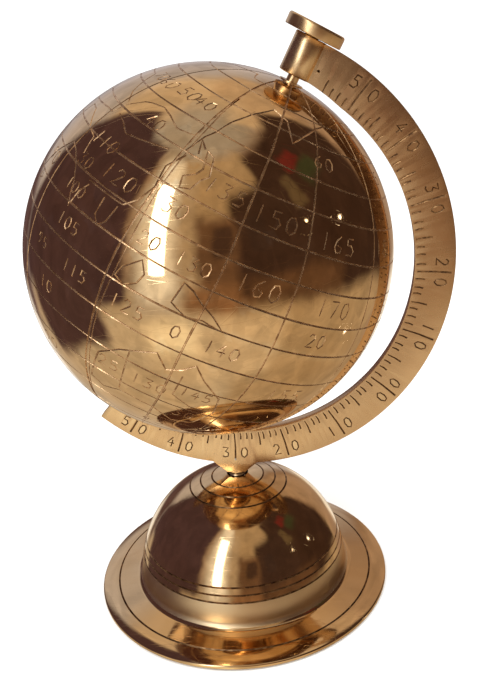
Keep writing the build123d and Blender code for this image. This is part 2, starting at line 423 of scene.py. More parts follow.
def mapStroke(corners, width, closed=False, step=2.0, taper=False):
    ground = overGround(corners, closed, step)
    ends = (0, len(ground) - 1)
    widths = [width * (1 + 0.12 * sin(2.1 * i + lon)) for i, (lon, lat) in enumerate(ground)]
    if taper and not closed:
        widths = [w * (globe["endShare"] if i in ends else 1) for i, w in enumerate(widths)]
    lift = globe["lift"] * width / globe["lineWidth"]
    return [onGlobe(lon, lat, lift) for lon, lat in ground], widths, closed


def meridianStroke(lon, share):
    # a hand-held line strays a little to each side; the second of a pair stops short of the poles
    end = globe["meridianEnd"] if share > 0.9 else globe["secondEnd"]
    corners = [(lon + 0.35 * sin(lat / 17 + lon) + 0.18 * sin(lat / 6 + 2 * lon), lat)
               for lat in range(-end, end + 1, 3)]
    return mapStroke(corners, share * globe["lineWidth"], step=3.0)


def parallelStroke(lat):
    corners = [(lon, lat + 0.16 * sin(radians(3 * lon) + lat)
                + 0.1 * sin(radians(7 * lon) + 2 * lat)) for lon in range(-180, 180, 3)]
    widths = [globe["lineWidth"] * (0.95 + 0.1 * sin(0.35 * i + lat)) for i in range(len(corners))]
    return [onGlobe(a, b, globe["lift"]) for a, b in corners], widths, True


# coasts and borders as the engraver laid them, in the globe's own degrees: angular, and a little
# out of place
coasts = [
    ([(-19, 37), (-17, 43), (-15, 46), (-13, 51), (-8, 57), (0, 63), (9, 61), (14, 54), (19, 58),
      (27, 63), (36, 66), (22, 71), (-4, 73), (-32, 73), (-44, 77), (-74, 73), (-84, 69),
      (-99, 67), (-104, 69), (-117, 70), (-130, 66), (-138, 60), (-135, 58), (-126, 64),
      (-120, 66), (-122, 61), (-115, 60), (-124, 55), (-132, 54), (-135, 57), (-136, 54),
      (-142, 51), (-148, 48), (-145, 46), (-146, 43), (-153, 43), (-153, 37), (-150, 36),
      (-144, 39), (-141, 43), (-135, 44), (-132, 41), (-128, 39), (-131, 45), (-125, 42),
      (-121, 37), (-117, 40), (-108, 37), (-110, 31), (-109, 27), (-101, 13), (-92, 16), (-85, 22),
      (-88, 26), (-94, 29), (-88, 28), (-77, 25), (-72, 20), (-67, 8), (-63, 15), (-57, 21),
      (-52, 20), (-47, 17), (-44, 14), (-41, 8), (-40, 13), (-38, 16)], False),
    ([(-31, 16), (-31, 11), (-29, 9), (-27, 11), (-26, 16)], False),
    ([(-18, 36), (-21, 31), (-20, 25), (-22, 20), (-25, 17)], False),
    ([(-15, 38), (-17, 42), (-14, 40)], False),
    ([(-13, 40), (-11, 35), (-12, 33), (-15, 31), (-14, 28), (-11, 29), (-10, 32), (-8, 34),
      (-10, 39)], True),
    ([(-13, 8), (-17, 4), (-18, 1), (-15, 0), (-12, 2), (-11, 5)], True),
    ([(-1, 8), (-2, 2), (3, 0), (7, 1), (13, 0), (9, 3), (5, 5), (2, 7)], True),
    ([(-16, -23), (-10, -18), (-6, -16), (0, -13), (4, -17), (8, -15), (11, -12), (15, -16),
      (22, -21), (24, -28), (21, -37), (14, -39), (6, -35), (-6, -34), (-13, -37), (-18, -35),
      (-17, -28)], True),
    ([(29, -35), (34, -38), (30, -41), (25, -46), (22, -45), (28, -40)], True),
    ([(-64, 9), (-62, 7), (-65, 6)], True),
    ([(-161, 15), (-160, 21), (-154, 29), (-150, 35), (-134, 36), (-133, 33), (-124, 31),
      (-112, 31), (-110, 27), (-106, 18), (-101, 11), (-93, 11), (-96, 4), (-102, -2), (-105, -7),
      (-104, -15), (-109, -22), (-111, -27), (-117, -34), (-125, -34), (-129, -27), (-132, -17),
      (-131, -9), (-135, -1), (-135, 4), (-142, 6), (-152, 4), (-157, 8)], True),
    ([(-95, -12), (-94, -17), (-98, -25), (-101, -21), (-99, -15)], True),
    ([(-149, 50), (-143, 52), (-146, 57), (-149, 58), (-149, 54)], True),
    ([(-168, 64), (-160, 63), (-157, 65), (-163, 67), (-168, 66)], True),
    ([(48, 65), (59, 71), (86, 70), (101, 68), (121, 69), (131, 67), (123, 61), (131, 56),
      (136, 52), (138, 60), (146, 62), (151, 58), (160, 53), (151, 49), (156, 46), (146, 43),
      (142, 40), (140, 35), (135, 31), (136, 26), (133, 29), (126, 30), (119, 27), (119, 21),
      (125, 18), (129, 21), (128, 16), (133, 11), (136, 9), (132, 8), (121, 16), (111, 20),
      (104, 29), (106, 23), (99, 33), (92, 40), (92, 48), (81, 58), (66, 60), (58, 56),
      (51, 60)], True),
    ([(137, 7), (144, 11), (154, 10), (166, 1), (180, -6), (177, -15), (168, -25), (159, -36),
      (151, -42), (147, -52), (142, -50), (143, -38), (146, -19), (135, -6), (138, 1)], True),
    ([(171, 60), (163, 66), (158, 75), (146, 78), (170, 82), (195, 80), (194, 71),
      (178, 65)], True),
    ([(131, 22), (138, 22), (142, 19), (136, 20)], True),
    ([(156, -65), (141, -73), (106, -75), (66, -77), (21, -73), (-4, -67), (-44, -66), (-84, -68),
      (-124, -70), (-164, -73), (-186, -76)], False),
]
borders = [
    ([(-83, 32), (-68, 33), (-57, 34), (-54, 34), (-52, 38), (-47, 42), (-44, 43), (-38, 44),
      (-33, 43), (-27, 41), (-19, 42)], False),
    ([(-50, 35), (-45, 34), (-40, 32), (-34, 33), (-29, 34), (-24, 35)], False),
    ([(-39, 17), (-32, 17), (-25, 17)], False),
    ([(-53, 39), (-59, 42), (-68, 50), (-84, 50), (-94, 47)], False),
    ([(-72, 24), (-70, 31), (-64, 31), (-56, 27), (-50, 26), (-48, 21)], False),
    ([(-7, -16), (-7, -33)], False),
    ([(9, -17), (9, -25), (16, -28), (22, -28)], False),
    ([(93, 49), (120, 49), (133, 45), (146, 47)], False),
    ([(100, 32), (110, 31), (118, 26)], False),
    ([(81, 59), (75, 69)], False),
    ([(141, -5), (150, 1), (158, 4), (165, 1)], False),
    ([(147, -20), (157, -24), (160, -34)], False),
    ([(-152, 28), (-139, 21), (-131, 23), (-120, 22), (-107, 22)], False),
    ([(-131, 6), (-118, 5), (-103, 1)], False),
    ([(-132, -15), (-122, -18), (-108, -16)], False),
    ([(-144, 45), (-138, 47), (-130, 50), (-122, 52), (-117, 59)], False),
]


def figureStrokes(text, lon, lat, height, second, lean):
    # degree figures stand along a parallel; height in metres
    made = []
    gap = globe["figureGap"]
    for place, mark in enumerate(text):
        for corners, closed in figures[mark][1 if second else 0]:
            ground = []
            for x, y in corners:
                east = (x + lean * y + place * gap - figureWide / 2 - gap * (len(text) - 1) / 2)
                east = east * height
                north = (y - figureHigh / 2) * height
                ground.append((lon + degrees(east / globe["radius"] / cos(radians(lat))),
                               lat + degrees(north / globe["radius"])))
            made.append(mapStroke(ground, globe["figureWidth"], closed, taper=True))
    return made


# text, longitude, latitude, height in millimetres and lean; no words are cut, only degrees
degreeFigures = [
    ("70", -62, 51, 3.8, 0.2), ("60", -52, 51, 4.4, 0.2), ("50", -38, 52, 4.4, 0.15),
    ("40", -28, 52, 4.0, 0.1), ("40", -35, 39, 4.0, 0.0), ("110", -44, 27, 4.4, 0.1),
    ("120", -31, 22, 4.8, 0.05), ("30", -45, 20, 4.0, 0.0), ("30", -12, 23, 4.4, 0.1),
    ("135", -2, 32.5, 4.6, 0.1), ("150", 15, 31.5, 5.2, 0.0), ("165", 38, 31, 5.2, 0.0),
    ("180", 66, 32, 5.2, 0.0), ("20", -14, 13, 4.0, 0.1), ("130", -1, 13, 4.0, 0.0),
    ("160", 17, 14, 5.2, 0.0), ("170", 42, 14, 5.2, 0.0), ("175", 69, 14, 5.0, 0.0),
    ("100", -42, 13, 3.6, 0.0), ("0", 2, -5, 4.0, 0.0), ("105", -38, 4.5, 3.8, 0.0),
    ("115", -30, -5, 3.8, 0.0), ("125", -12, -5, 4.2, 0.0), ("140", 15, -5, 4.2, 0.0),
    ("95", -46, -5, 3.4, 0.0), ("10", -40, -15, 4.0, 0.0), ("25", -12.3, -25, 4.2, 0.0),
    ("130", 1.2, -25, 4.3, 0.0), ("145", 15.3, -22.3, 3.9, 0.0), ("155", 41, -15, 5.2, 0.0),
    ("165", 42, -35, 4.6, 0.0), ("30", 16, -33, 4.0, 0.0), ("45", 9, -45, 4.6, 0.0),
    ("20", 40, 4.5, 4.4, 0.0), ("90", -62, 14, 4.6, 0.0), ("75", -72, -5, 4.8, 0.0),
    ("60", 30, 52, 4.2, 0.0), ("75", 72, 52, 4.2, 0.0), ("90", 72, -5, 4.8, 0.0),
    ("100", 101, 14, 4.8, 0.0), ("110", 101, -25, 4.8, 0.0), ("120", 131, 52, 4.6, 0.0),
    ("105", 102, 42, 4.6, 0.0), ("130", 131, -5, 4.8, 0.0), ("60", 162, -14, 4.6, 0.0),
    ("45", 162, 32, 4.6, 0.0), ("30", -168, -5, 4.8, 0.0), ("15", -168, -35, 4.8, 0.0),
    ("0", -142, 14, 4.8, 0.0), ("15", -110, -5, 4.6, 0.0), ("30", -130, 14, 4.8, 0.0),
    ("45", -105, 41, 4.4, 0.0), ("60", -102, 52, 4.4, 0.0), ("75", -72, -35, 4.8, 0.0),
    ("90", -40, -35, 4.6, 0.0), ("60", 71, -45, 4.8, 0.0),
]

halves = [("northShell", 1, "north_hemisphere"), ("southShell", -1, "south_hemisphere")]
shells = []
for name, side, node in halves:
    shell = addShape(bpy.ops.mesh.primitive_uv_sphere_add, segments=globe["around"],
                     ring_count=globe["rings"], radius=globe["radius"])
    shell.name = shell.data.name = name
    editAll()
    bpy.ops.mesh.bisect(plane_co=(0, 0, 0), plane_no=(0, 0, side), clear_inner=True,
                        threshold=weldFine)
    leaveEdit()
    pickPoints(shell, lambda spot: spot.xy.length < globe["poleOpening"])
    bpy.ops.mesh.delete(type="VERT")
    leaveEdit()
    ringSize = min(v.co.xy.length for v in shell.data.vertices)
    pickPoints(shell, lambda spot: spot.xy.length < ringSize + 0.01 * mm)
    fit = globe["bushHole"] / ringSize
    bpy.ops.transform.resize(value=(fit, fit, 1), center_override=(0, 0, 0))
    leaveEdit()
    applyModifier(shell, "SOLIDIFY", thickness=globe["wall"], offset=-1.0)
    setFinishes(shell, globeBrass, lineOxide)
    shells.append(shell)
print("globe halves shaped")

coast, border = globe["coastWidth"], globe["coastWidth"] * globe["borderShare"]
for name, strokes in {
        "parallels": [parallelStroke(lat) for lat in globe["parallels"]],
        "meridians": [meridianStroke(lon, share) for lon, share in globe["meridians"]],
        "coasts": [mapStroke(corners, coast, closed) for corners, closed in coasts],
        "borders": [mapStroke(corners, border, closed) for corners, closed in borders]}.items():
    cutLines(shells, strokes, name, lineOxide)
for second in (False, True):
    strokes = [s for text, lon, lat, high, lean in degreeFigures
               for s in figureStrokes(text, lon, lat, high * mm, second, lean)]
    cutLines(shells, strokes, "degrees", lineOxide)

for shell, (name, side, node) in zip(shells, halves):
    placePiece(shell, globeCentre, (0, tilt, 0))
    finishPiece(shell, "globe", "polished_brass", node, angle=25)
    # the ball's own faces take round normals, so that mirror images run cleanly past the lines
    mesh = shell.data
    normals = [Vector(c.vector) for c in mesh.corner_normals]
    for face in mesh.polygons:
        reach = min((mesh.vertices[v].co - globeCentre).length for v in face.vertices)
        if face.material_index == 0 and reach > globe["radius"] - 0.05 * mm:
            for corner, v in zip(face.loop_indices, face.vertices):
                normals[corner] = (mesh.vertices[v].co - globeCentre).normalized()
    mesh.normals_split_custom_set(normals)
print("globe engraved")


# meridian arm: a flat bar bent round, with a pointed foot and a hand-cut degree scale on its face

arm = {
    "centre": Vector((2.2, 0, 130.3)) * mm, "inner": 65.2 * mm, "outer": 78.9 * mm,
    "thick": 5.0 * mm, "low": -132.5, "high": 66.4, "steps": 136, "edge": 0.4 * mm,
    "footTop": 53.4 * mm, "footTip": 47.5 * mm, "footHalfTop": 10.3 * mm,
    "footHalfTip": 3.5 * mm, "globeRoom": 66.1 * mm,
    # cut along the globe's axis: radius, then from and to, from the globe's centre, then facets
    "bossSeat": (5.4 * mm, 58 * mm, 90 * mm, 96), "topTrim": (22 * mm, 78.3 * mm, 86 * mm, 96),
    "pinHole": (1.5 * mm, -90 * mm, -60 * mm, 48),
    "studHole": 2.5 * mm, "studDepth": 7 * mm, "studHeight": 50 * mm,
    # where the maker cut the tens lines, in degrees round the arm's centre, with their figures
    "tens": [(49.3, "5"), (33.5, "4"), (16.3, "3"), (-3.4, "2"), (-22.0, "1"), (-40.7, "0"),
             (-58.8, "1"), (-76.1, "2"), (-91.6, "3"), (-108.4, "4"), (-123.2, "5")],
    "lineWidth": 0.68 * mm, "lineInside": 0.9 * mm, "lineOutside": 1.2 * mm,
    "tickWidth": 0.60 * mm, "tickInside": 0.6 * mm, "ticksPerTen": 8, "tick": 2.9, "halfTick": 5.5,
    # four more ticks past the first ten, with their lengths in millimetres
    "endTicks": [(1, 2.8), (2, 3.0), (3, 2.8), (4, 4.2)], "endTickStep": 2.15, "endTickInside": 0.7,
    "figureWidth": 0.58 * mm, "figureHeight": 4.2 * mm, "figureReach": 74.3 * mm,
    "figureAside": 3.6 * mm, "figureTurns": -50,
    # a bar this wide stands this far off the face, in millimetres
    "barWidth": 0.55, "barLift": 0.10,
}

meridianArm = addShape(bpy.ops.mesh.primitive_plane_add, size=1,
                       location=((arm["inner"] + arm["outer"]) / 2, 0, 0))
meridianArm.name = meridianArm.data.name = "meridianArm"
meridianArm.scale = (arm["outer"] - arm["inner"], arm["thick"], 1)
bpy.ops.object.transform_apply(location=True, rotation=True, scale=True)
editAll()
bpy.ops.mesh.spin(steps=arm["steps"], angle=radians(arm["high"] - arm["low"]),
                  center=(0, 0, 0), axis=(0, 1, 0))
weldAndLeave(weldCoarse)
placePiece(meridianArm, arm["centre"], (0, radians(-arm["low"]), 0))
print("  arm spans", [round(x * 1000, 1) for x in meridianArm.dimensions])

foot = addShape(bpy.ops.mesh.primitive_cube_add, size=1,
                location=(0, 0, (arm["footTop"] + arm["footTip"]) / 2))
foot.scale = (2 * arm["footHalfTop"], arm["thick"], arm["footTop"] - arm["footTip"])
bpy.ops.object.transform_apply(location=True, rotation=True, scale=True)
pickPoints(foot, lambda spot: spot.z < arm["footTip"] + 0.1 * mm)
bpy.ops.transform.resize(value=(arm["footHalfTip"] / arm["footHalfTop"], 1, 1),
                         center_override=(0, 0, 0))
leaveEdit()
cutOrJoin(meridianArm, foot, "UNION")
applyModifier(meridianArm, "BEVEL", width=arm["edge"], segments=3, limit_method="ANGLE",
              angle_limit=radians(40))


def axisRod(radius, low, high, around):
    # round bar along the globe's axis, between two distances from the globe's centre
    rod = addShape(bpy.ops.mesh.primitive_cylinder_add, vertices=around, radius=radius,
                   depth=high - low)
    placePiece(rod, globeCentre + poleAxis * (low + high) / 2, (0, tilt, 0))
    return rod


ballRoom = addShape(bpy.ops.mesh.primitive_uv_sphere_add, segments=192, ring_count=96,
                    radius=arm["globeRoom"])
placePiece(ballRoom, globeCentre)
cutOrJoin(meridianArm, ballRoom)
for rod in (arm["bossSeat"], arm["topTrim"], arm["pinHole"]):
    cutOrJoin(meridianArm, axisRod(*rod))
studRod = addShape(bpy.ops.mesh.primitive_cylinder_add, vertices=64, radius=arm["studHole"],
                   depth=arm["studDepth"])
placePiece(studRod, (0, 0, arm["studHeight"]))
cutOrJoin(meridianArm, studRod)


def onArm(reach, angle, lift):
    a = radians(angle)
    return arm["centre"] + Vector((reach * cos(a), -arm["thick"] / 2 - lift, reach * sin(a)))


def armLift(width):
    return arm["barLift"] * width / arm["barWidth"]


def armLine(angle, start, end, width, startShare, endShare):
    lift = armLift(width)
    points = [onArm(start, angle, lift), onArm((start + end) / 2, angle + 0.15, lift),
              onArm(end, angle, lift)]
    return points, [width * startShare, width, width * endShare], False


def armFigure(mark, angle, aside, second):
    # figures on the right stand with their tops outwards; those at the bottom stand upright
    made = []
    high = arm["figureHeight"]
    outward = angle > arm["figureTurns"]
    for corners, closed in figures[mark][1 if second else 0]:
        points = []
        for x, y in corners:
            across = (x - figureWide / 2) * high * 0.95 + aside * arm["figureAside"]
            rise = (y - figureHigh / 2) * high
            reach = arm["figureReach"] + (rise if outward else -rise)
            turn = degrees((-across if outward else across) / reach)
            points.append(onArm(reach, angle + turn, armLift(arm["figureWidth"])))
        made.append((points, [arm["figureWidth"]] * len(points), closed))
    return made


inner, outer = arm["inner"], arm["outer"]
tens = [angle for angle, mark in arm["tens"]]
tensLines = [armLine(angle, inner + arm["lineInside"], outer - arm["lineOutside"],
                     arm["lineWidth"], 0.85, 1.15) for angle in tens]
ticks = []
for first, second in zip(tens, tens[1:]):
    for step in range(1, arm["ticksPerTen"]):
        share = (second - first) * step / arm["ticksPerTen"]
        angle = first + share + 0.25 * sin(3.7 * step + first)
        shortTick = arm["tick"] + 0.3 * sin(5.1 * step + first)
        length = (arm["halfTick"] if step == arm["ticksPerTen"] / 2 else shortTick) * mm
        start = inner + arm["tickInside"]
        ticks.append(armLine(angle, start, start + length, arm["tickWidth"], 0.75, 1.1))
for step, length in arm["endTicks"]:
    ticks.append(armLine(tens[0] + arm["endTickStep"] * step, inner + arm["endTickInside"] * mm,
                         inner + (arm["endTickInside"] + length) * mm, arm["tickWidth"], 0.75, 1.1))
setFinishes(meridianArm, armBrass, grooveOxide)
cutLines([meridianArm], tensLines, "tensLines", grooveOxide)
cutLines([meridianArm], ticks, "ticks", grooveOxide)
for second in (False, True):
    strokes = []
    for angle, mark in arm["tens"]:
        strokes += armFigure(mark, angle, -1, second) + armFigure("0", angle, 1, second)
    cutLines([meridianArm], strokes, "armFigures", grooveOxide)

# a small casting pit was left where the arm meets the boss; places and widths in millimetres
pit = {"along": 70.2, "aside": 6.4, "front": (0, -2.6, 0), "run": (0.25, 0.9, 0.4),
       "widths": (1.2, 0.7)}
pitStart = globeCentre + poleAxis * pit["along"] * mm
pitStart = pitStart + Vector((cos(tilt), 0, -sin(tilt))) * pit["aside"] * mm
pitStart = pitStart + Vector(pit["front"]) * mm
pitStroke = ([pitStart, pitStart + Vector(pit["run"]) * mm], [w * mm for w in pit["widths"]], False)
cutLines([meridianArm], [pitStroke], "pit", grooveOxide)
finishPiece(meridianArm, "stand", "satin_brass", "meridian_arm", angle=28)


# base: a turned bell on a wide flange; all of it in millimetres

bell = {
    "dome": 41.6, "domeHeight": 4.7, "wall": 1.8, "seat": 4.2, "stud": 2.6,
    "flange": 57.9, "underside": 0.9, "edgeTop": 2.4, "rootTop": 5.0, "fillet": 3.0, "edge": 0.45,
    "lowEdge": 0.15, "shoulderGrooves": [20.3, 17.6, 14.9], "crownGrooves": [10.2, 14.8, 19.1],
    "flangeGroove": 51.3, "grooveWidth": 0.7, "grooveDepth": 0.38, "around": 224,
    # degrees between the points of each arc
    "domeStep": 1.5, "filletStep": 6, "edgeStep": 24, "insideStep": 4,
    # which faces hold old polish, and where the rougher band with painted reflection lies
    "oxideAbove": 9, "oxideDepths": (0.35, 0.06), "rimHalf": 0.36, "rimAbove": 2,
    "bandDepth": 0.1, "bandFrom": 5.5, "bandReach": 43,
}


def bellOutline():
    # from the seat down over the dome, round the root, out along the flange and back inside
    radius, height = bell["dome"], bell["domeHeight"]
    fall = (bell["rootTop"] - bell["edgeTop"]) / (bell["flange"] - radius)
    slope = atan2(fall, 1)
    lift = bell["rootTop"] - height + bell["fillet"] / cos(slope) + radius * fall
    reach = radius + bell["fillet"]
    filletX = (lift * fall + sqrt(reach**2 * (1 + fall**2) - lift**2)) / (1 + fall**2)
    filletZ = height + lift - fall * filletX
    domeEnd = degrees(atan2(filletZ - height, filletX))
    grooves = [degrees(asin((z - height) / radius)) for z in bell["shoulderGrooves"]]
    grooves += [90 - degrees(asin(r / radius)) for r in bell["crownGrooves"]]
    halfWide = degrees(bell["grooveWidth"] / 2 / radius)
    bottom = radius - bell["grooveDepth"]
    points, angle = [], 90 - degrees(asin(bell["seat"] / radius))
    for groove in sorted(grooves, reverse=True):
        points += arcPoints((0, height), radius, angle, groove + halfWide, bell["domeStep"])
        low = radians(groove)
        points.append((bottom * cos(low), height + bottom * sin(low)))
        angle = groove - halfWide
    points += arcPoints((0, height), radius, angle, domeEnd, bell["domeStep"])
    points += arcPoints((filletX, filletZ), bell["fillet"], domeEnd + 180, 270 - degrees(slope),
                        bell["filletStep"])[1:]

    def onFlange(r, depth=0.0):
        return r, bell["edgeTop"] + (bell["flange"] - r) * fall - depth

    middle, half, edge = bell["flangeGroove"], bell["grooveWidth"] / 2, bell["edge"]
    points += [onFlange(middle - half), onFlange(middle, bell["grooveDepth"])]
    points += [onFlange(middle + half), onFlange(bell["flange"] - edge)]
    points += arcPoints((bell["flange"] - edge, bell["edgeTop"] - edge), edge, 70, 0,
                        bell["edgeStep"])
    points += [(bell["flange"], bell["underside"] + bell["lowEdge"])]
    points += [(bell["flange"] - bell["lowEdge"], bell["underside"])]
    inside = radius - bell["wall"]
    points += [(inside, bell["underside"])]
    points += arcPoints((0, height), inside, 0, 90 - degrees(asin(bell["stud"] / inside)),
                        bell["insideStep"])
    return points + [(bell["stud"], height + sqrt(radius**2 - bell["seat"]**2))]


baseBell = turnPiece("baseBell", bellOutline(), bell["around"])
setFinishes(baseBell, domeBrass, grooveOxide, paintedReflectionBrass)
deepest, shallowest = (bell["dome"] - depth for depth in bell["oxideDepths"])
for face in baseBell.data.polygons:
    # the sides of the turned grooves hold old polish, and the band under the shoulder is rougher
    # and painted lighter, a painted reflection of the bright flange
    r, z = face.center.xy.length / mm, face.center.z / mm
    fromDome = sqrt(r**2 + (z - bell["domeHeight"])**2)
    onDome = z > bell["oxideAbove"] and deepest < fromDome < shallowest
    onRim = abs(r - bell["flangeGroove"]) < bell["rimHalf"] and z > bell["rimAbove"]
    onPaintedReflectionBand = (fromDome > bell["dome"] - bell["bandDepth"] and r < bell["bandReach"]
              and bell["bandFrom"] < z < bell["shoulderGrooves"][-1])
    face.material_index = 1 if onDome or onRim else 2 if onPaintedReflectionBand else 0
finishPiece(baseBell, "stand", "polished_brass", "base_bell", angle=24)

collar = {"radius": 3.4, "waist": 3.2, "low": 46.05, "high": 47.5, "stud": 2.6, "rim": 0.15,
          "steps": 8, "around": 64}
waist = []
for i in range(collar["steps"] + 1):
    depth = (collar["radius"] - collar["waist"]) * sin(pi * i / collar["steps"])
    rise = (collar["high"] - collar["low"] - 2 * collar["rim"]) * i / collar["steps"]
    waist.append((collar["radius"] - depth, collar["low"] + collar["rim"] + rise))
footCollar = turnPiece("footCollar", [
    (collar["stud"], collar["low"]), (collar["radius"], collar["low"]), *waist,
    (collar["radius"], collar["high"]), (collar["stud"], collar["high"])], collar["around"])
# painted reflection: the collar takes the lighter brass, so its waist shows golden where it would
# mirror dark surroundings
setFinishes(footCollar, paintedReflectionBrass)
finishPiece(footCollar, "stand", "turned_brass", "foot_collar", angle=35)


# boss, thumb screw and knob on the globe's axis, in millimetres from the globe's centre

def finishOnAxis(piece, body, node, angle):
    placePiece(piece, globeCentre, (0, tilt, 0))
    setFinishes(piece, poleBrass)
    finishPiece(piece, body, "turned_brass", node, angle=angle)


boss = {"radius": 5.4, "low": 65.8, "high": 78.4, "bore": 2.56, "edge": 0.4, "edgeIn": 0.12,
        "edgeUp": 0.18, "boreEdge": 0.3, "around": 96}
poleBoss = turnPiece("poleBoss", [
    (boss["bore"], boss["low"]), (boss["radius"] - boss["edge"], boss["low"]),
    (boss["radius"] - boss["edgeIn"], boss["low"] + boss["edgeUp"]),
    (boss["radius"], boss["low"] + boss["edge"]), (boss["radius"], boss["high"] - boss["edge"]),
    (boss["radius"] - boss["edgeIn"], boss["high"] - boss["edgeUp"]),
    (boss["radius"] - boss["edge"], boss["high"]), (boss["bore"] + boss["boreEdge"], boss["high"]),
    (boss["bore"], boss["high"] - boss["boreEdge"])], boss["around"])
finishOnAxis(poleBoss, "stand", "pole_boss", 35)

screw = {"radius": 2.5, "root": 2.12, "pitch": 0.8, "low": 70.0, "high": 78.57, "tip": 59.5,
         "pivot": 1.95, "tipEdge": 0.4, "rows": 76, "around": 48, "plainEnd": 0.05, "room": 0.02,
         "flank": 2.4}
rows = [screw["low"] + (screw["high"] - screw["low"]) * i / screw["rows"]
        for i in range(screw["rows"] + 1)]
pivotScrew = turnPiece("pivotScrew", [
    (0, screw["tip"]), (screw["pivot"] - screw["tipEdge"], screw["tip"]),
    (screw["pivot"], screw["tip"] + screw["tipEdge"]), (screw["pivot"], screw["low"]),
    *[(screw["root"], z) for z in rows], (0, screw["high"])], screw["around"])
for vertex in pivotScrew.data.vertices:
    # the thread climbs one pitch for each turn
    height = vertex.co.z / mm
    threaded = screw["low"] + screw["plainEnd"] < height < screw["high"] - screw["plainEnd"]
    if threaded and vertex.co.xy.length > 1 * mm:
        phase = (height / screw["pitch"] - atan2(vertex.co.y, vertex.co.x) / (2 * pi)) % 1
        depth = screw["radius"] - screw["room"] - screw["root"]
        reach = screw["root"] + depth * min(1, screw["flank"] * (0.5 - abs(phase - 0.5)))
        vertex.co.xy = vertex.co.xy.normalized() * reach * mm
finishOnAxis(pivotScrew, "screw", "pivot_screw", 40)

knob = {"radius": 9.6, "low": 78.6, "high": 82.5, "topEdge": 0.8, "lowEdge": 0.35, "around": 128,
        # radius and depth of the points of the shallow mark in its top, from outside in
        "dimple": [(2.0, 0), (0.9, 0.02), (0.3, 0.45), (0, 0.5)]}
lowEdge, topEdge = knob["lowEdge"], knob["topEdge"]
thumbKnob = turnPiece("thumbKnob", [
    (0, knob["low"]),
    *arcPoints((knob["radius"] - lowEdge, knob["low"] + lowEdge), lowEdge, -90, 0, 22),
    *arcPoints((knob["radius"] - topEdge, knob["high"] - topEdge), topEdge, 0, 90, 15),
    *[(r, knob["high"] - depth) for r, depth in knob["dimple"]]], knob["around"])
finishOnAxis(thumbKnob, "knob", "thumb_knob", 35)

# CAD nodes that stay as they are take the finishes
for node, finish in {"north_bush": poleBrass, "south_bush": poleBrass, "south_pin": poleBrass,
                     "south_spacer": poleBrass, "equator_band": poleBrass, "felt_pad": baseFelt,
                     "foot_stud": plainSteel, "flat_washer": plainSteel,
                     "spring_washer": plainSteel, "stud_nut": plainSteel}.items():
    setFinishes(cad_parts[node], finish)
print("pieces finished")


# floor, surroundings, lights and camera

studio = {
    "floorRadius": 9.0, "floorColour": (0.90, 0.895, 0.885, 1),
    "floorShade": (0.88, 0.875, 0.865, 1), "skyColour": (1.0, 1.0, 0.995, 1), "skyStrength": 1.25,
    "roomRadius": 2.2, "wall": (0.26, 0.165, 0.11), "ground": (0.44, 0.33, 0.215),
    "ceiling": (0.40, 0.36, 0.33), "wallFrom": (-12, 0), "ceilingFrom": (58, 74),
    # what the brass mirrors: azimuth and elevation of the middle, half width and half height,
    # softness, all in degrees, then colour; azimuth 0 is in front and 90 to the right
    "zones": [
        (-70, -50, 90, 36, 14, (0.56, 0.47, 0.36)),
        (8, -42, 44, 20, 9, (0.64, 0.52, 0.38)),
        (-156, 30, 34, 44, 6, (0.50, 0.47, 0.50)),
        (180, 60, 70, 16, 7, (0.60, 0.47, 0.34)),
        (150, 52, 30, 14, 6, (0.56, 0.41, 0.28)),
        (-85, 29, 43, 42, 3, (0.072, 0.041, 0.047)),
        (-90, -20, 30, 13, 4, (0.080, 0.046, 0.050)),
        (-154, -8, 26, 13, 5, (0.11, 0.065, 0.065)),
        (22, 50, 34, 18, 5, (0.42, 0.31, 0.20)),
        (12, 9, 22, 24, 5, (0.15, 0.085, 0.052)),
        (-6, 22, 8, 34, 5, (0.46, 0.36, 0.26)),
        (12, -12, 18, 8, 6, (0.26, 0.14, 0.075)),
        (92, 23, 41, 40, 4, (0.050, 0.027, 0.020)),
        (50, 17, 24, 29, 4, (0.055, 0.031, 0.024)),
        (60, -10, 30, 8, 6, (0.13, 0.07, 0.04)),
        (150, 8, 15, 42, 4, (0.40, 0.28, 0.20)),
        (90, 48, 8, 5, 2, (0.14, 0.024, 0.020)),
        (97, 38, 9, 5, 3, (0.050, 0.056, 0.028)),
        (74, 34, 5, 8, 2, (0.12, 0.085, 0.05)),
        (40, 22, 6, 9, 2, (0.05, 0.03, 0.025)),
        (18, 20, 5, 8, 2, (0.07, 0.04, 0.03)),
        (-24, 24, 14, 44, 6, (0.52, 0.45, 0.38)),
        (-22, 28, 10, 37, 5, (0.90, 0.86, 0.80)),
        (-18, -34, 15, 10, 9, (0.95, 0.84, 0.64)),
        (166, -22, 10, 7, 4, (1.0, 0.95, 0.85)),
        (-143, -22, 7, 6, 4, (1.0, 0.97, 0.92)),
    ],
    # lights that the brass shows as bright shapes: azimuth, elevation, size in metres, radiance
    # and colour
    "lightReach": 2.0, "window": (-21.5, 27, (0.34, 2.8), 3.6, (1.0, 0.99, 0.96)),
    "lamps": [(97, 13, 0.035, 6.0, (1.0, 0.95, 0.9)), (72, 20, 0.028, 5.0, (1.0, 0.90, 0.75)),
              (108, -36, 0.03, 5.0, (1.0, 0.95, 0.9))],
    # soft lights that the brass doesn't show: name, place, power and colour
    "softLights": [("keyLight", (-0.9, -1.1, 1.9), 26, (1.0, 0.99, 0.97)),
                   ("fillLight", (1.3, -0.6, 1.7), 14, (1.0, 0.99, 0.98))],
    "softSize": (1.2, 1.2), "softTarget": (0, 0, 0.1),
}

floor = addShape(bpy.ops.mesh.primitive_circle_add, vertices=96, radius=studio["floorRadius"],
                 fill_type="NGON")
floor.name = "floor"
floorPaint = bpy.data.materials.new("floorPaint")
n = Nodes(floorPaint)
grain = n.noise(n.objectSpot(), 6.0, 3.0)
n.shade({"Base Color": n.mixColour(grain, studio["floorColour"], studio["floorShade"]),
         "Roughness": 0.9})
setFinishes(floor, floorPaint)
floor.visible_glossy = False

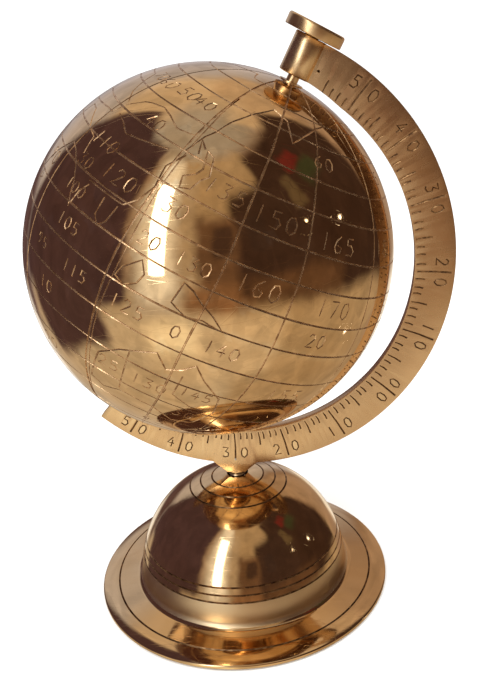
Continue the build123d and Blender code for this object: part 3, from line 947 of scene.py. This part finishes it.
# a big ball round the scene that only mirror rays see, painted like a lived-in room
room = addShape(bpy.ops.mesh.primitive_uv_sphere_add, segments=96, ring_count=48,
                radius=studio["roomRadius"], location=globeCentre)
room.name = "roomBall"
roomPaint = bpy.data.materials.new("roomPaint")
n = Nodes(roomPaint)
n.tree.nodes.remove(n.shader)
spot = n.add("ShaderNodeVectorMath", {0: n.objectSpot()}, operation="NORMALIZE").outputs[0]
parts = n.add("ShaderNodeSeparateXYZ", {0: spot}).outputs
azimuth = n.math("ARCTAN2", parts[0], n.math("MULTIPLY", parts[1], -1.0))
azimuth = n.math("MULTIPLY", azimuth, degrees(1))
elevation = n.math("MULTIPLY", n.math("ARCSINE", parts[2]), degrees(1))
# the edges of things wander a few degrees
wander = n.noise(spot, 3.0, 4.0, 0.6)
azimuth = n.math("ADD", azimuth, n.mapRange(wander, 0.3, 0.7, -2.5, 2.5))
wander = n.noise(spot, 3.5)
elevation = n.math("ADD", elevation, n.mapRange(wander, 0.3, 0.7, -2, 2))
wallShare = n.mapRange(elevation, *studio["wallFrom"], 0, 1, True)
colour = n.mixColour(wallShare, (*studio["ground"], 1), (*studio["wall"], 1))
ceilingShare = n.mapRange(elevation, *studio["ceilingFrom"], 0, 1, True)
colour = n.mixColour(ceilingShare, colour, (*studio["ceiling"], 1))
clutter = n.noise(spot, 7.0, 5.0, 0.65, 0.8)
flattened = n.add("ShaderNodeMapping", {"Vector": spot, "Scale": (1, 1, 0.6)}).outputs[0]
things = n.add("ShaderNodeTexVoronoi", {"Vector": flattened, "Scale": 7.0}).outputs["Color"]
thing = n.add("ShaderNodeSeparateColor", {0: things}).outputs[0]
strength = n.math("MULTIPLY", n.mapRange(clutter, 0.32, 0.68, 0.86, 1.14),
                  n.mapRange(thing, 0, 1, 0.88, 1.12))
for azMid, elMid, halfWide, halfHigh, soft, tint in studio["zones"]:
    aside = n.math("WRAP", n.math("SUBTRACT", azimuth, azMid), 180.0, -180.0)
    aside = n.math("ABSOLUTE", aside)
    wide = n.mapRange(aside, halfWide - soft, halfWide + soft, 1, 0, True)
    above = n.math("ABSOLUTE", n.math("SUBTRACT", elevation, elMid))
    high = n.mapRange(above, halfHigh - soft, halfHigh + soft, 1, 0, True)
    colour = n.mixColour(n.math("MULTIPLY", wide, high), colour, (*tint, 1))
glow = n.add("ShaderNodeEmission", {"Color": colour, "Strength": strength})
n.feed(n.tree.nodes["Material Output"].inputs["Surface"], glow.outputs[0])
roomPaint.cycles.emission_sampling = "NONE"
setFinishes(room, roomPaint)
room.visible_camera = room.visible_diffuse = room.visible_shadow = False
room.visible_transmission = False

world = bpy.data.worlds.new("softStudio")
world.use_nodes = True
background = world.node_tree.nodes["Background"]
background.inputs["Color"].default_value = studio["skyColour"]
background.inputs["Strength"].default_value = studio["skyStrength"]
bpy.context.scene.world = world
bpy.context.scene.view_settings.view_transform = "Standard"


def softLight(name, place, target, size, power, colour):
    light = addShape(bpy.ops.object.light_add, type="AREA", location=place)
    light.name = name
    light.data.shape = "RECTANGLE"
    light.data.size, light.data.size_y = size
    light.data.energy = power
    light.data.color = colour
    light.visible_camera = False
    light.rotation_euler = (Vector(place) - Vector(target)).to_track_quat("Z", "Y").to_euler()
    return light


def direction(azimuth, elevation):
    a, e = radians(azimuth), radians(elevation)
    return Vector((sin(a) * cos(e), -cos(a) * cos(e), sin(e)))


def towards(azimuth, elevation):
    return globeCentre + studio["lightReach"] * direction(azimuth, elevation)


azimuth, elevation, size, radiance, colour = studio["window"]
softLight("windowLight", towards(azimuth, elevation), globeCentre, size,
          radiance * pi * size[0] * size[1], colour)
for azimuth, elevation, radius, radiance, colour in studio["lamps"]:
    bpy.ops.object.light_add(type="POINT", location=towards(azimuth, elevation))
    lamp = bpy.context.object
    lamp.name = "lamp"
    lamp.data.shadow_soft_size = radius
    lamp.data.energy = radiance * 4 * pi**2 * radius**2
    lamp.data.color = colour
    lamp.visible_camera = False
for name, place, power, colour in studio["softLights"]:
    light = softLight(name, place, studio["softTarget"], studio["softSize"], power, colour)
    light.visible_glossy = False

camera = {"place": (0.0439, -0.2634, 0.2008), "azimuth": 6.601, "elevation": 22.164,
          "roll": -3.401, "lens": 40.763, "shift": (-0.0216, 0.0297), "sensor": 36.0}
a, r = radians(camera["azimuth"]), radians(camera["roll"])
back = direction(camera["azimuth"], camera["elevation"])
right = Vector((cos(a), sin(a), 0))
up = back.cross(right)
across = cos(r) * right + sin(r) * up
upwards = -sin(r) * right + cos(r) * up
turned = Matrix((across, upwards, back)).transposed().to_4x4()
lens = bpy.data.cameras.new("camera")
lens.sensor_fit = "VERTICAL"
lens.sensor_width = lens.sensor_height = camera["sensor"]
lens.lens = camera["lens"]
lens.shift_x, lens.shift_y = camera["shift"]
lens.clip_start = 0.01
viewer = bpy.data.objects.new("camera", lens)
viewer.matrix_world = Matrix.Translation(camera["place"]) @ turned
bpy.context.scene.collection.objects.link(viewer)
bpy.context.scene.camera = viewer
print("studio set up")
